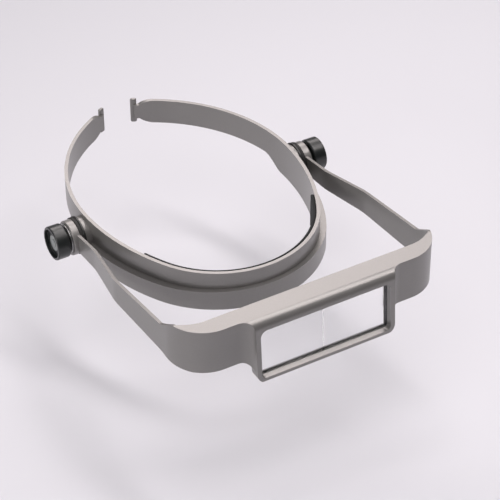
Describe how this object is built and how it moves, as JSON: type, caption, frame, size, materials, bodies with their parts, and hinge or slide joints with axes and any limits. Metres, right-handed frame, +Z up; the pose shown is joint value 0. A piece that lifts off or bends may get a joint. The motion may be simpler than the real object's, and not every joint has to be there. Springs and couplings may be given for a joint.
{
  "type": "head visor magnifier",
  "caption": "Open plastic headband with a brow pad and a tilting visor frame that carries a wide rectangular magnifying window in front of both eyes.",
  "frame": {"origin": "midpoint between the two pivots, on the tilt axis", "axes": "+X to the wearer's left, -Y forward towards the lenses, +Z up"},
  "size_m": [0.2124, 0.2931, 0.0485],
  "materials": {
    "frame_plastic": "satin metallic grey moulded plastic",
    "foam": "black closed-cell foam",
    "retainer_plastic": "dark grey moulded plastic",
    "lens": "clear polished acrylic",
    "stud_steel": "bright zinc-plated steel",
    "washer_plastic": "black moulded plastic",
    "washer_rubber": "black rubber",
    "thrust_steel": "plain steel",
    "knob_plastic": "black satin moulded plastic",
    "insert_brass": "turned brass",
    "cap_plastic": "satin grey plastic"
  },
  "bodies": {
    "headband": {"headband": "frame_plastic", "brow_pad": "foam", "left_pivot_stud": "stud_steel", "right_pivot_stud": "stud_steel", "left_backing_washer": "washer_plastic", "right_backing_washer": "washer_plastic", "left_friction_washer": "washer_rubber", "right_friction_washer": "washer_rubber"},
    "visor": {"visor_frame": "frame_plastic", "left_lens": "lens", "right_lens": "lens", "lens_retainer": "retainer_plastic"},
    "left_clamp": {"left_thrust_washer": "thrust_steel"},
    "left_knob": {"left_knob": "knob_plastic", "left_knob_insert": "insert_brass", "left_knob_cap": "cap_plastic"},
    "right_clamp": {"right_thrust_washer": "thrust_steel"},
    "right_knob": {"right_knob": "knob_plastic", "right_knob_insert": "insert_brass", "right_knob_cap": "cap_plastic"}
  },
  "joints": [
    {"name": "visor_tilt", "type": "hinge", "parent": "headband", "child": "visor", "pos_m": [0, 0, 0], "axis": [-1, 0, 0], "range_deg": [-20, 75]},
    {"name": "left_clamp_slide", "type": "slide", "parent": "headband", "child": "left_clamp", "axis": [1, 0, 0], "range_m": [0, 0.00119]},
    {"name": "left_knob_turn", "type": "hinge", "parent": "left_clamp", "child": "left_knob", "pos_m": [0.1, 0, 0], "axis": [1, 0, 0], "range_deg": [0, 540]},
    {"name": "right_clamp_slide", "type": "slide", "parent": "headband", "child": "right_clamp", "axis": [-1, 0, 0], "range_m": [0, 0.00119]},
    {"name": "right_knob_turn", "type": "hinge", "parent": "right_clamp", "child": "right_knob", "pos_m": [-0.1, 0, 0], "axis": [-1, 0, 0], "range_deg": [0, 540]}
  ],
  "couplings": [
    {"joint": "left_knob_turn", "follows": "left_clamp_slide", "rad_per_m": 7854},
    {"joint": "right_knob_turn", "follows": "right_clamp_slide", "rad_per_m": 7854}
  ]
}
